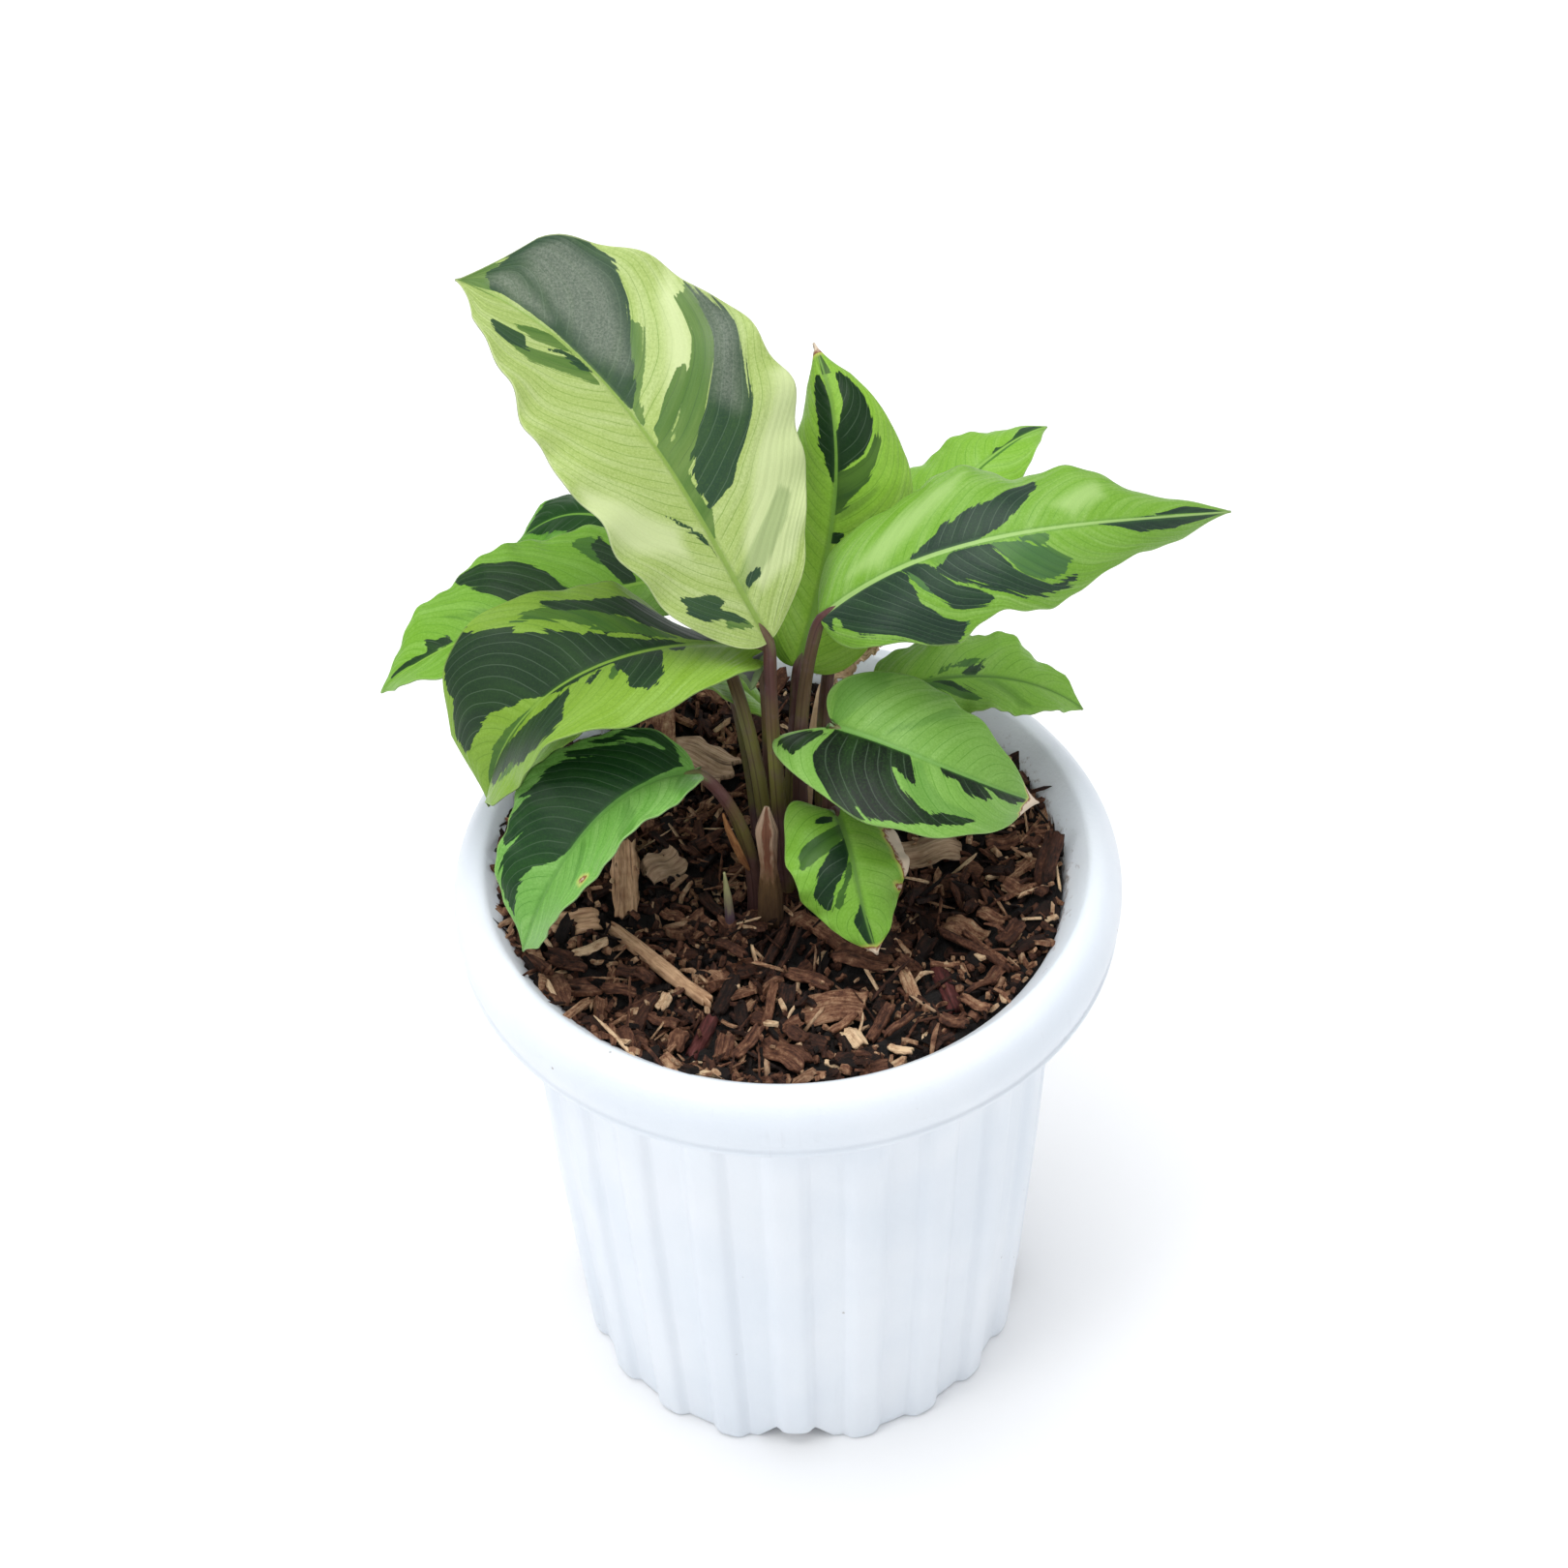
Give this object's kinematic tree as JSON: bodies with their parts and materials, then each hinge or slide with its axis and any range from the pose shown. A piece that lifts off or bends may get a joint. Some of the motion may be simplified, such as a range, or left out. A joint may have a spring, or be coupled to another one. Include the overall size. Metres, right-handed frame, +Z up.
{
  "type": "potted prayer plant",
  "caption": "Potted prayer plant with broad variegated waved leaves on slim stalks, in a white fluted round pot with a rolled rim.",
  "frame": {"origin": "centre of the pot's base, on the plane it stands on", "axes": "+Z up, -Y towards the viewer of the picture, +X to the viewer's right"},
  "size_m": [0.1898, 0.1597, 0.2692],
  "materials": {
    "pot_plastic": "satin white",
    "soil_mix": "damp bark mix",
    "leaf_green": "satin leaf with dark green patches",
    "dry_leaf": "dry leaf",
    "pale_wood": "dry bark and litter",
    "dark_wood": "dark red stem"
  },
  "bodies": {
    "root": {"pot": "pot_plastic", "soil": "soil_mix", "leaf_tall": "leaf_green", "leaf_upright": "leaf_green", "leaf_right_big": "leaf_green", "leaf_back_right": "leaf_green", "leaf_low_right": "leaf_green", "leaf_heart": "leaf_green", "leaf_front": "leaf_green", "leaf_left_big": "leaf_green", "leaf_left_low": "leaf_green", "leaf_left_back": "leaf_green", "leaf_back_left": "leaf_green", "leaf_low_left": "leaf_green", "leaf_dry": "dry_leaf", "dry_sheath": "dry_leaf", "new_shoot": "leaf_green", "twig_pale": "pale_wood", "twig_dark": "dark_wood", "chip_upright": "pale_wood", "chip_left": "pale_wood", "leaf_scrap": "pale_wood", "litter_back": "pale_wood", "litter_right": "pale_wood", "stem_dark": "dark_wood"}
  },
  "joints": []
}
